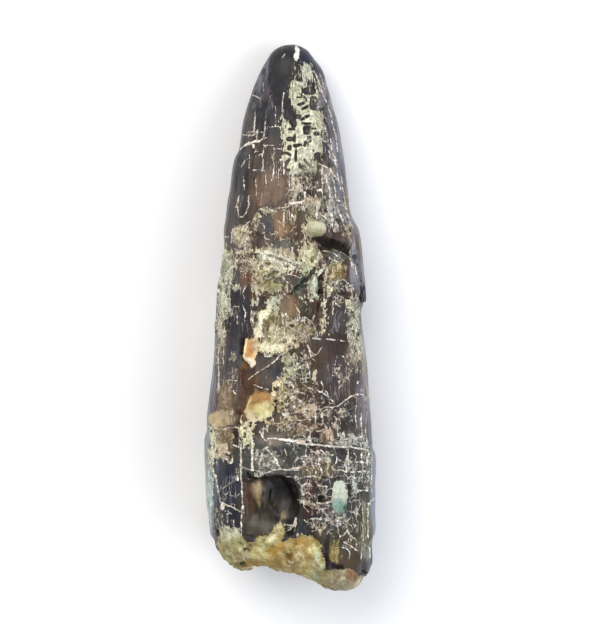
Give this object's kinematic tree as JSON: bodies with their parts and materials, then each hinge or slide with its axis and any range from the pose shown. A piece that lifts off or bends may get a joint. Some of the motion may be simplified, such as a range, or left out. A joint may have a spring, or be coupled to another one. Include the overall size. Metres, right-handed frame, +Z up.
{
  "type": "fossil dinosaur tooth",
  "caption": "Blunt, slightly bowed conical fossil tooth with an oval section, broken off at the root, lying on its side.",
  "frame": {"origin": "bottom centre of the bounding box, on the surface the tooth lies on", "axes": "+Y along the tooth from the broken root to the tip, +Z up, +X to the right when seen from above with the tip away from the viewer"},
  "size_m": [0.0344, 0.11, 0.0282],
  "materials": {
    "fossil": "semi-gloss mineralised enamel with dull sandstone crust"
  },
  "bodies": {
    "root": {"tooth": "fossil"}
  },
  "joints": []
}
